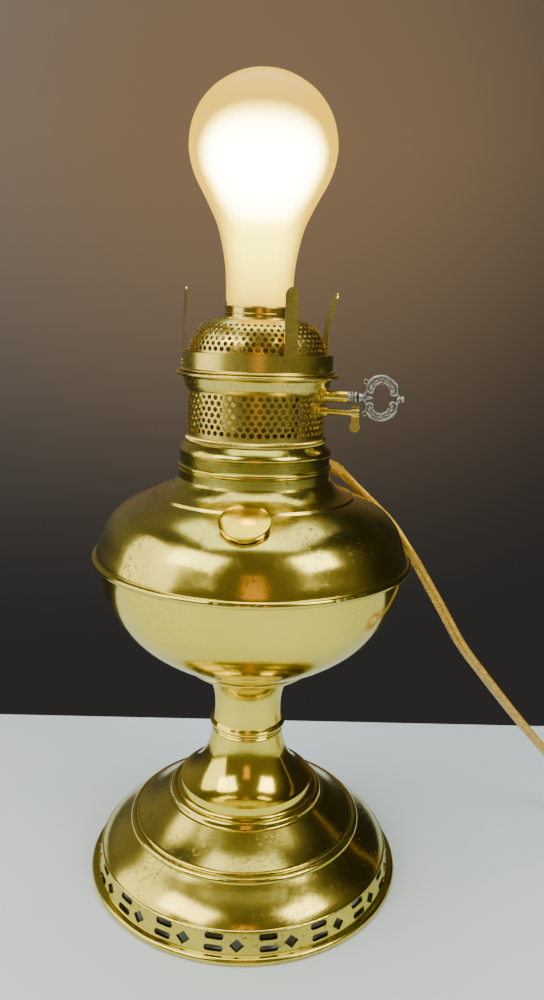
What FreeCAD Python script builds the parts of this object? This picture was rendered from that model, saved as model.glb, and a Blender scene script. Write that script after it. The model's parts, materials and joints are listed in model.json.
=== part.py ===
import FreeCAD, Part
import math
import os

# Centre-draft table lamp in spun brass, changed over to an electric bulb.
# Millimetres. The lamp's axis is Z, the table is z = 0, the filler cap is at the
# front (-Y) and the two control shafts point to the right (+X).

os.makedirs("parts", exist_ok=True)
V = FreeCAD.Vector
CENTRE = V(0, 0, 0)
UP = V(0, 0, 1)

# Foot and stem
RIM_R = 78.3
RIM_H = 3.5
BAND_TOP_R = 72.4
BAND_TOP_Z = 11.8
FOOT_TOP_Z = 43.9
FOOT_WALL = 1.2
PIERCED_UNITS = 19
PIERCED_Z = 7.3
PIERCED_START = -91.5
DIAMOND_W, DIAMOND_H = 6.8, 5.5
PILL_W, PILL_H = 8.6, 2.6
PILL_SPREAD = 2.3
PILL_LEAD = 8.0
CONE_TOP_Z = 72.8
WAIST_TOP_Z = 79.4
CUP_TOP_Z = 103.8
STEM_WALL = 1.2

# Oil font
FONT_WALL = 0.9
FONT_FOOT_TOP_Z = 110.4
SEAM_Z = 164.0
SEAM_R = 76.2
SEAM_WIRE_R = 1.7
COLLAR_BOTTOM_Z = 201.4
COLLAR_TOP_Z = 219.3
COLLAR_BORE_R = 31.8

# Tubes up the middle
DRAFT_R, DRAFT_WALL = 15.2, 0.7
DRAFT_BOTTOM_Z, DRAFT_TOP_Z = 104.0, 236.0
WICK_TUBE_R, WICK_TUBE_WALL = 20.2, 0.6
WICK_TUBE_BOTTOM_Z, WICK_TUBE_TOP_Z = 192.0, 249.5

# Burner
MILLED_BOTTOM_Z, MILLED_TOP_Z = 219.6, 222.4
SKIRT_R, SKIRT_BOTTOM_Z = 31.6, 210.0
BASKET_R, BASKET_WALL = 31.6, 0.6
BASKET_TOP_Z = 242.4
FLANGE_R, FLANGE_Z = 37.5, 250.1

# Gallery, which rides up and down on the burner
BAND_R, BAND_WALL = 34.8, 0.6
BAND_BOTTOM_Z, BAND_Z = 252.3, 259.6
SEAT_Z, SEAT_H = 257.6, 1.0
DOME_R, DOME_BASE_Z = 31.0, 258.6
DOME_RIM_R, DOME_RIM_Z = 22.8, 274.2
DOME_HOLE_R = 17.0
DOME_WALL = 0.6
GUIDE_R = 30.7
GUIDE_BOTTOM_Z = 244.8

# Spring prongs: name, direction round the axis, tip radius, half-way radius
PRONGS = [
    ("prong_front", -66.0, 33.6, 33.8),
    ("prong_right", 19.0, 38.2, 34.4),
    ("prong_rear", 112.0, 35.2, 34.0),
    ("prong_left", -168.0, 33.3, 33.7),
]
PRONG_W, PRONG_T = 6.0, 0.6
PRONG_SEAT_R = 33.75
PRONG_BOTTOM_Z, PRONG_TOP_Z = 252.8, 288.0
RIVET_Z, RIVET_R = 255.2, 0.8

# The two control shafts share one direction
SHAFT_AZIMUTH = -10.0
KEY_Z = 241.3
LEVER_Z = 234.3
SPINDLE_R = 1.6
RUNNING_GAP = 0.06
SLEEVE_R, SLEEVE_START, SLEEVE_END = 2.6, 29.4, 42.2
LEVER_ROD_R = 1.5
BUSH_R = 2.5
TOOTH_MODULE = 0.8
WICK_TEETH = 10
LIFT_TEETH = 9
WICK_TRAVEL = 18.0
LIFT_TRAVEL = 7.5
WICK_GEAR_X, LIFT_GEAR_X, GEAR_W = 21.5, 26.0, 2.6

# Key bow
BOW_CENTRE_X, BOW_HALF_W, BOW_HALF_H = 57.2, 8.9, 10.4
BOW_HOLE_HALF_W, BOW_HOLE_HALF_H = 5.6, 7.1
BOW_T = 2.4

# Wick carrier, lowered
CARRIER_IN_R, CARRIER_OUT_R = 15.6, 19.1
CARRIER_BOTTOM_Z, CARRIER_TOP_Z = 210.0, 217.5
ARM_BOTTOM_Z, ARM_TOP_Z = 212.0, 216.0

# Lamp socket and bulb, medium screw size
SOCKET_R, SOCKET_WALL = 15.5, 0.5
SOCKET_BOTTOM_Z, SOCKET_TOP_Z = 243.0, 280.2
LINER_R = 14.8
SCREW_SHELL_R, SCREW_SHELL_WALL = 13.8, 0.4
BULB_BOTTOM_Z = 248.0
BULB_THREAD_PITCH = 3.6
BULB_NECK_Z = 275.0
BULB_TOP_Z = 378.4
GLASS_WALL = 0.8

# Filler, leaning out square to the font's shoulder
FILLER_AZIMUTH = -93.5
FILLER_R, FILLER_Z = 54.7, 190.6
FILLER_TILT = 27.0
FILLER_NECK_R, FILLER_BORE_R = 8.2, 7.1
CAP_R, CAP_H, CAP_CROWN = 10.9, 3.7, 1.6
CAP_GAP = 0.4

# Supply cord: flat twin lead, drawn here as a round tube of the same section area
CORD_R = 2.1
LEAD_AZIMUTH = 33.0
LEAD_Z = 206.0
BUSHING_R, BUSHING_END = 3.3, 38.6
COIL_CENTRE = (234.0, 74.0)
COIL_R = 32.0
COIL_HALF_W, COIL_H = 8.6, 9.6
TAIL_LENGTH = 40.0

# Hand-chosen route of the cord from its bushing to the coil
CORD_ROUTE = [
    (32.4, 21.0, 206.0),
    (41.6, 27.0, 204.6),
    (51.0, 28.4, 197.0),
    (61.8, 25.2, 187.8),
    (72.0, 19.6, 177.6),
    (79.6, 13.4, 163.0),
    (89.6, 14.0, 146.6),
    (101.2, 17.0, 127.6),
    (111.4, 20.6, 110.4),
    (126.4, 23.4, 92.0),
    (145.0, 27.6, 69.2),
    (166.0, 31.6, 45.4),
    (184.0, 35.2, 24.4),
    (199.6, 38.0, 10.2),
    (216.0, 40.8, 4.0),
    (234.0, 42.0, 2.5),
]


# ---------------------------------------------------------------- outlines

def curve_through(points):
    """A smooth curve in the XZ plane through (radius, height) points."""
    curve = Part.BSplineCurve()
    curve.interpolate([V(r, 0, z) for r, z in points])
    return curve


def edge_through(points):
    """A straight edge through two points, a smooth one through more."""
    if len(points) == 2:
        return Part.makeLine(V(points[0][0], 0, points[0][1]), V(points[1][0], 0, points[1][1]))
    return curve_through(points).toShape()


def travel_at(points):
    """Unit directions of travel at each point of one stretch of an outline."""
    if len(points) == 2:
        step = V(points[1][0] - points[0][0], 0, points[1][1] - points[0][1])
        step.normalize()
        return [step, step]
    curve = curve_through(points)
    return [curve.tangent(curve.parameter(V(r, 0, z)))[0] for r, z in points]


def moved_in(outline, wall):
    """The outline moved to its left by the wall, with mitred corners."""
    travels = [travel_at(points) for points in outline]
    inner = []
    for index, points in enumerate(outline):
        row = []
        last = len(points) - 1
        for place, (r, z) in enumerate(points):
            here = travels[index][place]
            other = here
            if place == 0 and index > 0:
                other = travels[index - 1][-1]
            if place == last and index + 1 < len(outline):
                other = travels[index + 1][0]
            scale = wall / (1 + here.dot(other))
            row.append((r - (here.z + other.z) * scale, z + (here.x + other.x) * scale))
        inner.append(row)
    return inner


def spin(edges):
    """The solid swept by a closed outline turning once about the lamp's axis."""
    wire = Part.Wire(Part.__sortEdges__(edges))
    solid = Part.Face(wire).revolve(CENTRE, UP, 360)
    if solid.Volume < 0:
        solid.reverse()
    return solid


def between(outer, inner):
    """A turned shell between two outlines that run the same way."""
    edges = [edge_through(points) for points in outer + inner]
    for end in (0, -1):
        ends = [outer[end][end], inner[end][end]]
        if math.dist(*ends) > 1e-6:
            edges.append(edge_through(ends))
    return spin(edges)


def sheet(outline, wall):
    """Spun sheet metal: the outline is its outside, travelled upward."""
    return between(outline, moved_in(outline, wall))


def trimmed(shape, low, high):
    """The part of a turned shape between two heights, with flat ends."""
    return shape.common(Part.makeCylinder(2 * RIM_R, high - low, V(0, 0, low)))


def turned(points):
    """A turned solid from a closed outline of straight edges."""
    ring = points + [points[0]]
    return spin([edge_through([a, b]) for a, b in zip(ring, ring[1:])])


def tube(outer_r, inner_r, low, high):
    return turned([(inner_r, low), (outer_r, low), (outer_r, high), (inner_r, high)])


def bead(radius, height, wire_r):
    """A round wire ring about the lamp's axis."""
    return Part.makeTorus(radius, wire_r, V(0, 0, height), UP)


def box(low, high):
    size = [b - a for a, b in zip(low, high)]
    return Part.makeBox(size[0], size[1], size[2], V(*low))


def along_x(radius, start, end, height):
    """A round bar on the shaft direction at a height."""
    return Part.makeCylinder(radius, end - start, V(start, 0, height), V(1, 0, 0))


def about_z(shape, degrees):
    """A copy of the shape turned about the lamp's axis."""
    copy = shape.copy()
    copy.rotate(CENTRE, UP, degrees)
    return copy


def to_shaft(shape):
    return about_z(shape, SHAFT_AZIMUTH)


def joined(shapes):
    return shapes[0].multiFuse(shapes[1:]).removeSplitter()


def save(name, shape):
    """Write one node, after checking that each of its solids is sound."""
    solids = shape.Solids
    sound = bool(solids) and all(one.isValid() and one.Volume > 0 for one in solids)
    whole = solids[0] if len(solids) == 1 else Part.makeCompound(solids)
    whole.exportStep("parts/" + name + ".step")
    print(name, len(solids), "ok" if sound else "BAD", round(whole.Volume, 1))


# ---------------------------------------------------------------- foot and stem

def stadium(width, height):
    """A flat slot outline with round ends, in the YZ plane."""
    end = height / 2
    flat = width / 2 - end
    corners = [V(0, -flat, -end), V(0, flat, -end), V(0, flat, end), V(0, -flat, end)]
    edges = [
        Part.makeLine(corners[0], corners[1]),
        Part.Arc(corners[1], V(0, flat + end, 0), corners[2]).toShape(),
        Part.makeLine(corners[2], corners[3]),
        Part.Arc(corners[3], V(0, -flat - end, 0), corners[0]).toShape(),
    ]
    return Part.Wire(edges)


def diamond(width, height):
    corners = [V(0, -width / 2, 0), V(0, 0, -height / 2), V(0, width / 2, 0), V(0, 0, height / 2)]
    return Part.makePolygon(corners + corners[:1])


def radial_cutter(wire, height, azimuth):
    """A prism that punches an outline through the band, from the axis outward."""
    start = BAND_TOP_R - 5
    cutter = Part.Face(wire).extrude(V(2 * (RIM_R - start), 0, 0))
    cutter.translate(V(start, 0, height))
    return about_z(cutter, azimuth)


def foot_shell():
    outer = [
        [(76.2, 0.4), (BAND_TOP_R, BAND_TOP_Z)],
        [(BAND_TOP_R, BAND_TOP_Z), (72.9, 12.5), (72.0, 13.4)],
        [(72.0, 13.4), (69.6, 16.4), (65.8, 19.8), (61.4, 23.0), (58.3, 25.4)],
        [(58.3, 25.4), (58.0, 27.0), (56.6, 27.9), (55.6, 27.7)],
        [(55.6, 27.7), (55.1, 28.7), (54.0, 29.0)],
        [(54.0, 29.0), (49.6, 31.8), (44.8, 35.4), (40.0, 39.3)],
        [(40.0, 39.3), (38.6, 40.0), (38.0, 41.6), (36.6, 42.4), (35.6, 42.0)],
        [(35.6, 42.0), (34.9, 43.4), (33.8, FOOT_TOP_Z)],
        [(33.8, FOOT_TOP_Z), (27.0, FOOT_TOP_Z)],
    ]
    plain = [
        [(76.2, 0.4), (BAND_TOP_R, BAND_TOP_Z)],
        [(BAND_TOP_R, BAND_TOP_Z), (66.6, 19.4), (55.0, 27.2), (40.0, 38.4), (34.0, FOOT_TOP_Z)],
        [(34.0, FOOT_TOP_Z), (27.0, FOOT_TOP_Z)],
    ]
    shell = between(outer, moved_in(plain, FOOT_WALL + 0.2))
    cutters = []
    for unit in range(PIERCED_UNITS):
        azimuth = PIERCED_START + unit * 360 / PIERCED_UNITS
        cutters.append(radial_cutter(diamond(DIAMOND_W, DIAMOND_H), PIERCED_Z, azimuth))
        for side in (-1, 1):
            pill = stadium(PILL_W, PILL_H)
            height = PIERCED_Z + 0.8 + side * PILL_SPREAD
            cutters.append(radial_cutter(pill, height, azimuth - PILL_LEAD))
    rim = spin([
        edge_through([(74.4, 0), (77.0, 0)]),
        Part.Arc(V(77.0, 0, 0), V(RIM_R, 0, RIM_H / 2), V(77.0, 0, RIM_H)).toShape(),
        edge_through([(77.0, RIM_H), (74.4, RIM_H)]),
        edge_through([(74.4, RIM_H), (74.4, 0)]),
    ])
    return shell.cut(Part.makeCompound(cutters)).fuse(rim)


def stem_cone():
    outline = [
        [(33.7, FOOT_TOP_Z), (33.3, 47.2)],
        [(33.3, 47.2), (31.7, 47.9)],
        [(31.7, 47.9), (26.4, 52.0), (22.8, 56.6), (20.3, 61.6), (18.6, 67.0), (17.4, CONE_TOP_Z)],
    ]
    return trimmed(sheet(outline, STEM_WALL), FOOT_TOP_Z, CONE_TOP_Z)


def waist_ring():
    bore = 15.6
    outer = [
        [(17.2, CONE_TOP_Z), (17.6, 73.4), (17.2, 74.1)],
        [(17.2, 74.1), (17.7, 74.8), (17.3, 75.6)],
        [(17.3, 75.6), (18.4, 76.3), (18.9, 77.2), (18.4, 78.1)],
        [(18.4, 78.1), (17.7, WAIST_TOP_Z)],
    ]
    return between(outer, [[(bore, CONE_TOP_Z), (bore, WAIST_TOP_Z)]])


def stem_cup():
    outline = [
        [(17.5, WAIST_TOP_Z), (16.9, 84.4), (16.9, 89.6), (17.8, 95.2), (19.8, 100.0), (22.2, CUP_TOP_Z)],
    ]
    return trimmed(sheet(outline, STEM_WALL), WAIST_TOP_Z, CUP_TOP_Z)


def font_foot_ring():
    outline = [
        [(22.6, CUP_TOP_Z), (27.4, 105.4), (31.6, 108.2)],
        [(31.6, 108.2), (32.4, 109.2), (31.8, FONT_FOOT_TOP_Z)],
    ]
    inner = [
        [(20.6, CUP_TOP_Z), (25.6, 107.0), (28.2, FONT_FOOT_TOP_Z)],
    ]
    return between(outline, inner)


# ---------------------------------------------------------------- font

def font_bowl():
    outline = [
        [(DRAFT_R, FONT_FOOT_TOP_Z), (30.2, FONT_FOOT_TOP_Z)],
        [(30.2, FONT_FOOT_TOP_Z), (40.4, 114.4), (50.4, 120.6), (59.6, 128.8), (65.8, 137.4),
         (69.8, 146.6), (72.0, 156.0), (72.6, SEAM_Z - 1.8)],
    ]
    return sheet(outline, FONT_WALL)


def filler_placed(shape):
    """Set a shape built on the Z axis onto the leaning filler axis."""
    copy = shape.copy()
    copy.rotate(CENTRE, V(0, 1, 0), FILLER_TILT)
    copy.translate(V(FILLER_R, 0, FILLER_Z))
    return about_z(copy, FILLER_AZIMUTH)


def font_dome():
    outline = [
        [(74.2, SEAM_Z), (73.9, 167.2), (72.3, 171.6), (70.3, 176.8), (67.4, 181.8), (63.2, 186.2),
         (57.2, 189.8), (51.6, 192.4), (47.6, 193.9)],
        [(47.6, 193.9), (46.9, 195.0)],
        [(46.9, 195.0), (42.6, 196.6), (38.9, 198.9), (36.6, COLLAR_BOTTOM_Z)],
    ]
    shell = sheet(outline, FONT_WALL)
    seam = bead(SEAM_R - SEAM_WIRE_R, SEAM_Z, SEAM_WIRE_R)
    hole = filler_placed(Part.makeCylinder(FILLER_NECK_R, 30, V(0, 0, -15)))
    return joined([shell, seam]).cut(hole)


def cord_hole(radius):
    """The round way through the wall for the cord, along its own direction."""
    bar = Part.makeCylinder(radius, 40, V(5, 0, LEAD_Z), V(1, 0, 0))
    return about_z(bar, LEAD_AZIMUTH)


def burner_collar():
    outer = [
        [(36.6, COLLAR_BOTTOM_Z), (35.9, 202.4)],
        [(35.9, 202.4), (35.9, 206.2)],
        [(35.9, 206.2), (35.2, 206.8)],
        [(35.2, 206.8), (36.2, 208.0), (35.2, 209.2)],
        [(35.2, 209.2), (35.2, 213.8)],
        [(35.2, 213.8), (35.7, 214.6), (35.0, 216.8), (32.8, COLLAR_TOP_Z)],
    ]
    inner = [[(COLLAR_BORE_R, COLLAR_BOTTOM_Z), (COLLAR_BORE_R, COLLAR_TOP_Z)]]
    return between(outer, inner).cut(cord_hole(BUSHING_R))


def filler_neck():
    neck = tube(FILLER_NECK_R, FILLER_BORE_R, -5.0, 2.6)
    return filler_placed(neck)


def filler_gasket():
    return filler_placed(tube(FILLER_NECK_R - 0.2, FILLER_BORE_R - 0.4, 2.9, 3.5))


def filler_cap():
    wall = 0.9
    top = CAP_H + CAP_CROWN
    outer = [
        [(CAP_R - 0.7, CAP_GAP), (CAP_R - 0.7, 1.2)],
        [(CAP_R - 0.7, 1.2), (CAP_R - 0.2, 1.7), (CAP_R - 0.7, 2.2)],
        [(CAP_R - 0.7, 2.2), (CAP_R, 2.9), (CAP_R - 0.2, CAP_H)],
        [(CAP_R - 0.2, CAP_H), (CAP_R * 0.72, CAP_H + 0.8), (CAP_R * 0.36, top - 0.2), (0, top)],
    ]
    inner = [
        [(FILLER_NECK_R + 0.3, CAP_GAP), (FILLER_NECK_R + 0.3, CAP_H - 0.1)],
        [(FILLER_NECK_R + 0.3, CAP_H - 0.1), (0, top - wall)],
    ]
    return filler_placed(between(outer, inner))


# ---------------------------------------------------------------- tubes and burner

def draft_tube():
    shell = tube(DRAFT_R, DRAFT_R - DRAFT_WALL, DRAFT_BOTTOM_Z, DRAFT_TOP_Z)
    return shell.cut(cord_hole(CORD_R + 1.6))


def carrier_slot():
    """The upright slot in the outer tube that the carrier's arm rides in."""
    low = ARM_BOTTOM_Z - 0.6
    high = ARM_TOP_Z + WICK_TRAVEL + 0.6
    return to_shaft(box((15, 4.2, low), (25, 7.6, high)))


def outer_wick_tube():
    shell = tube(WICK_TUBE_R, WICK_TUBE_R - WICK_TUBE_WALL, WICK_TUBE_BOTTOM_Z, WICK_TUBE_TOP_Z)
    return shell.cut(Part.makeCompound([carrier_slot(), cord_hole(CORD_R + 1.0)]))


def burner_base_ring():
    """Milled ring, threaded skirt and the web that holds the outer wick tube."""
    ring = turned([
        (WICK_TUBE_R, 220.0), (30.4, 220.0), (30.4, SKIRT_BOTTOM_Z), (SKIRT_R, SKIRT_BOTTOM_Z),
        (SKIRT_R, MILLED_BOTTOM_Z), (32.6, MILLED_BOTTOM_Z), (32.6, 221.2), (31.9, MILLED_TOP_Z),
        (30.9, MILLED_TOP_Z), (30.9, 221.0), (WICK_TUBE_R, 221.0),
    ])
    rack_way = to_shaft(box((18.5, 2.4, 219), (25.2, 8.0, 223)))
    return ring.cut(rack_way)


def burner_basket():
    outline = [
        [(BASKET_R, MILLED_TOP_Z), (BASKET_R, BASKET_TOP_Z)],
        [(BASKET_R, BASKET_TOP_Z), (32.3, 243.2), (33.4, 244.8), (33.8, 246.8), (34.1, 248.2)],
        [(34.1, 248.2), (36.2, 249.7)],
    ]
    shell = sheet(outline, BASKET_WALL)
    edge = bead(FLANGE_R - 0.8, FLANGE_Z, 0.8)
    lip = turned([(32.9, 249.6), (36.7, 249.6), (36.7, 250.6), (32.9, 250.6)])
    holes = [
        to_shaft(along_x(SLEEVE_R, 28, 45, KEY_Z)),
        to_shaft(along_x(BUSH_R, 28, 45, LEVER_Z)),
    ]
    return joined([shell, edge, lip]).cut(Part.makeCompound(holes))


def key_sleeve():
    sleeve = along_x(SLEEVE_R, SLEEVE_START, SLEEVE_END, KEY_Z)
    return to_shaft(sleeve.cut(along_x(SPINDLE_R + RUNNING_GAP, 20, 60, KEY_Z)))


def lever_bush():
    bush = along_x(BUSH_R, 30.2, 33.4, LEVER_Z)
    return to_shaft(bush.cut(along_x(LEVER_ROD_R + RUNNING_GAP, 20, 60, LEVER_Z)))


# ---------------------------------------------------------------- gallery

def gallery_band():
    outline = [
        [(35.4, 251.0), (36.0, 251.6), (35.5, BAND_BOTTOM_Z)],
        [(35.5, BAND_BOTTOM_Z), (BAND_R, BAND_BOTTOM_Z + 0.3)],
        [(BAND_R, BAND_BOTTOM_Z + 0.3), (BAND_R, BAND_Z)],
    ]
    inner = [
        [(31.2, 251.0), (31.2, 251.8)],
        [(31.2, 251.8), (BAND_R - BAND_WALL, 251.8)],
        [(BAND_R - BAND_WALL, 251.8), (BAND_R - BAND_WALL, BAND_Z)],
    ]
    return between(outline, inner)


def gallery_guide():
    """Sleeve under the gallery that slides inside the basket."""
    return turned([
        (GUIDE_R - 0.6, GUIDE_BOTTOM_Z), (GUIDE_R, GUIDE_BOTTOM_Z), (GUIDE_R, 251.0),
        (31.2, 251.0), (31.2, 251.8), (GUIDE_R - 0.6, 251.8),
    ])


def chimney_seat():
    inner_r = 30.1
    ring = turned([
        (inner_r, 251.8), (inner_r + 0.6, 251.8), (inner_r + 0.6, SEAT_Z), (34.1, SEAT_Z),
        (34.1, SEAT_Z + SEAT_H), (inner_r, SEAT_Z + SEAT_H),
    ])
    slots = [
        about_z(box((33.1, -PRONG_W / 2 - 0.3, 250), (36, PRONG_W / 2 + 0.3, 262)), azimuth)
        for _, azimuth, _, _ in PRONGS
    ]
    return ring.cut(Part.makeCompound(slots))


def air_dome():
    outline = [
        [(DOME_R, DOME_BASE_Z), (DOME_R, 260.6), (30.4, 264.6), (28.0, 269.4), (25.6, 272.2),
         (DOME_RIM_R, DOME_RIM_Z)],
        [(DOME_RIM_R, DOME_RIM_Z), (DOME_HOLE_R + 0.6, DOME_RIM_Z + 0.2)],
    ]
    return sheet(outline, DOME_WALL)


def dome_ring():
    """Stepped ring crimped round the hole in the air dome."""
    low = DOME_RIM_Z - 1.4
    return turned([
        (DOME_HOLE_R, low), (DOME_HOLE_R + 0.6, low), (DOME_HOLE_R + 0.6, 274.4),
        (18.6, 274.4), (18.2, 275.2), (DOME_HOLE_R, 275.2),
    ])


def prong_blank(tip_r, middle_r):
    """One prong standing on +X: a strip bent in the radial plane, tip rounded."""
    middle_z = 273.0
    line = [
        [(PRONG_SEAT_R, PRONG_BOTTOM_Z), (PRONG_SEAT_R, BAND_Z)],
        [(PRONG_SEAT_R, BAND_Z), (middle_r, middle_z), (tip_r, PRONG_TOP_Z)],
    ]
    half = PRONG_T / 2
    outer = moved_in(line, -half)
    inner = moved_in(line, half)
    edges = [edge_through(points) for points in outer + inner]
    edges += [edge_through([outer[end][end], inner[end][end]]) for end in (0, -1)]
    face = Part.Face(Part.Wire(Part.__sortEdges__(edges)))
    face.translate(V(0, -PRONG_W / 2, 0))
    strip = face.extrude(V(0, PRONG_W, 0))
    stencil = Part.makeCylinder(PRONG_W / 2, 20, V(25, 0, PRONG_TOP_Z - PRONG_W / 2), V(1, 0, 0))
    below = box((25, -PRONG_W / 2, 250), (45, PRONG_W / 2, PRONG_TOP_Z - PRONG_W / 2))
    return strip.common(stencil.fuse(below))


def rivet():
    """One flush rivet on +X through the band and its prong."""
    shank = along_x(RIVET_R, PRONG_SEAT_R - 0.4, BAND_R + 0.05, RIVET_Z)
    heads = [
        along_x(RIVET_R + 0.5, PRONG_SEAT_R - 0.8, PRONG_SEAT_R - PRONG_T / 2, RIVET_Z),
        along_x(RIVET_R + 0.4, BAND_R - 0.02, BAND_R + 0.2, RIVET_Z),
    ]
    return joined([shank] + heads)


# ---------------------------------------------------------------- gears and racks

def tooth_half_angle(radius, pitch_r, half_width):
    """Half the angle that an involute tooth takes up at a radius."""
    pressure = math.radians(20)
    base_r = pitch_r * math.cos(pressure)
    here = math.acos(min(1.0, base_r / radius))
    rolled = (math.tan(pressure) - pressure) - (math.tan(here) - here)
    return half_width / pitch_r + rolled


def pinion(teeth, start_x, height, first_tooth):
    """A spur pinion on a shaft along X; first_tooth is an angle from +Y toward +Z."""
    pitch_r = teeth * TOOTH_MODULE / 2
    radii = [pitch_r - 0.8 * TOOTH_MODULE, pitch_r, pitch_r + 0.45 * TOOTH_MODULE,
             pitch_r + 0.9 * TOOTH_MODULE]
    half_width = 0.22 * math.pi * TOOTH_MODULE
    corners = []
    for tooth in range(teeth):
        middle = first_tooth + 2 * math.pi * tooth / teeth
        halves = [tooth_half_angle(r, pitch_r, half_width) for r in radii]
        flank = list(zip(radii, halves))
        for r, half in flank:
            corners.append((r, middle - half))
        for r, half in reversed(flank):
            corners.append((r, middle + half))
    points = [V(start_x, r * math.cos(a), height + r * math.sin(a)) for r, a in corners]
    face = Part.Face(Part.makePolygon(points + points[:1]))
    return face.extrude(V(GEAR_W, 0, 0))


def rack_teeth(pitch_r, side, start_x, mesh_z, low, high, back):
    """A toothed bar facing the shaft, on its +Y side (side 1) or -Y side (side -1)."""
    pitch = math.pi * TOOTH_MODULE
    tip_y = pitch_r - 0.6 * TOOTH_MODULE
    root_y = pitch_r + 1.1 * TOOTH_MODULE
    slope = math.tan(math.radians(20))
    half = 0.21 * pitch
    outline = [(root_y, low)]
    first = math.ceil((low - mesh_z) / pitch - 0.5)
    last = math.floor((high - mesh_z) / pitch - 0.5)
    for tooth in range(first, last + 1):
        middle = mesh_z + (tooth + 0.5) * pitch
        root_half = half + (root_y - pitch_r) * slope
        tip_half = half - (pitch_r - tip_y) * slope
        if middle - root_half <= low or middle + root_half >= high:
            continue
        outline += [(root_y, middle - root_half), (tip_y, middle - tip_half),
                    (tip_y, middle + tip_half), (root_y, middle + root_half)]
    outline += [(root_y, high), (root_y + back, high), (root_y + back, low)]
    points = [V(start_x, side * y, z) for y, z in outline]
    face = Part.Face(Part.makePolygon(points + points[:1]))
    return face.extrude(V(GEAR_W, 0, 0))


WICK_PITCH_R = WICK_TEETH * TOOTH_MODULE / 2
LIFT_PITCH_R = LIFT_TEETH * TOOTH_MODULE / 2


def wick_pinion():
    gear = pinion(WICK_TEETH, WICK_GEAR_X, KEY_Z, 0)
    return to_shaft(gear.cut(along_x(SPINDLE_R, 15, 40, KEY_Z)))


def wick_spindle():
    return to_shaft(along_x(SPINDLE_R, WICK_GEAR_X - 0.5, SLEEVE_END + 0.4, KEY_Z))


def wick_rack():
    bar = rack_teeth(WICK_PITCH_R, 1, WICK_GEAR_X, KEY_Z, ARM_BOTTOM_Z, KEY_Z + 3.6, 1.7)
    return to_shaft(bar)


def wick_carrier():
    """Ring round the draft tube, with the arm that reaches out to the rack."""
    ring = tube(CARRIER_OUT_R, CARRIER_IN_R, CARRIER_BOTTOM_Z, CARRIER_TOP_Z)
    arm = box((17.4, WICK_PITCH_R + 1.1 * TOOTH_MODULE, ARM_BOTTOM_Z), (WICK_GEAR_X, 6.6, ARM_TOP_Z))
    return joined([ring, to_shaft(arm)])


def lift_pinion():
    gear = pinion(LIFT_TEETH, LIFT_GEAR_X, LEVER_Z, math.pi)
    return to_shaft(gear.cut(along_x(LEVER_ROD_R, 15, 40, LEVER_Z)))


def lift_rod():
    return to_shaft(along_x(LEVER_ROD_R, LIFT_GEAR_X - 0.5, 47.2, LEVER_Z))


def lift_rack():
    """Toothed tail under the gallery, with a foot that joins it to the guide."""
    low = LEVER_Z - LIFT_TRAVEL - 3.0
    bar = rack_teeth(LIFT_PITCH_R, -1, LIFT_GEAR_X, LEVER_Z, low, 250.4, 1.5)
    root_y = LIFT_PITCH_R + 1.1 * TOOTH_MODULE
    foot = box((LIFT_GEAR_X, -root_y - 1.5, 246.4), (30.0, -root_y, 250.4))
    return to_shaft(joined([bar, foot]).cut(tube(40, GUIDE_R - 0.6, 240, 252)))


def lift_paddle():
    """Thumb piece of the lever: a flat tab that hangs from the rod."""
    hub = along_x(2.2, 44.2, 47.9, LEVER_Z)
    blade = box((44.2, -0.6, LEVER_Z - 6.6), (47.9, 0.6, LEVER_Z + 3.0))
    tip = Part.makeCylinder(2.4, 1.2, V(46.05, -0.6, LEVER_Z - 6.6), V(0, 1, 0))
    hole = along_x(LEVER_ROD_R, 20, 47.2, LEVER_Z)
    return to_shaft(joined([hub, blade, tip]).cut(hole))


# ---------------------------------------------------------------- key

def upright_ellipse(centre_x, half_w, half_h, thick):
    """An elliptical plate in the XZ plane at the key's height."""
    centre = V(centre_x, -thick / 2, KEY_Z)
    curve = Part.Ellipse(centre + V(0, 0, half_h), centre + V(half_w, 0, 0), centre)
    return Part.Face(Part.Wire([curve.toShape()])).extrude(V(0, thick, 0))


def key_bow():
    plate = upright_ellipse(BOW_CENTRE_X, BOW_HALF_W, BOW_HALF_H, BOW_T)
    opening = upright_ellipse(BOW_CENTRE_X - 0.2, BOW_HOLE_HALF_W, BOW_HOLE_HALF_H, 3 * BOW_T)
    scrolls = []
    for x, z, r in ((53.0, 4.4, 2.2), (62.2, 3.8, 2.1)):
        for side in (-1, 1):
            start = V(x, -BOW_T / 2 - 0.3, KEY_Z + side * z)
            scrolls.append(Part.makeCylinder(r, BOW_T + 0.6, start, V(0, 1, 0)))
    leaf = Part.makeCone(2.6, 1.0, 4.4, V(46.6, 0, KEY_Z), V(1, 0, 0))
    knob = Part.makeSphere(1.6, V(BOW_CENTRE_X + BOW_HALF_W + 0.6, 0, KEY_Z))
    return to_shaft(joined([plate.cut(opening), leaf, knob] + scrolls))


def key_ferrule():
    """Collar between the sleeve and the bow, pinned on the spindle."""
    start = SLEEVE_END + 0.3
    neck = along_x(2.2, start, 46.6, KEY_Z)
    collars = [along_x(2.8, start, start + 1.2, KEY_Z), along_x(2.7, 45.2, 46.6, KEY_Z)]
    bore = along_x(SPINDLE_R, start, SLEEVE_END + 0.4, KEY_Z)
    return to_shaft(joined([neck] + collars).cut(bore))


# ---------------------------------------------------------------- socket and bulb

def socket_adapter():
    """Plug pressed into the top of the draft tube, drilled for the cord."""
    plug_r = DRAFT_R - DRAFT_WALL
    return turned([
        (3.0, 228.0), (plug_r, 228.0), (plug_r, DRAFT_TOP_Z), (DRAFT_R, DRAFT_TOP_Z),
        (DRAFT_R, DRAFT_TOP_Z + 1.2), (3.0, DRAFT_TOP_Z + 1.2),
    ])


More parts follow.
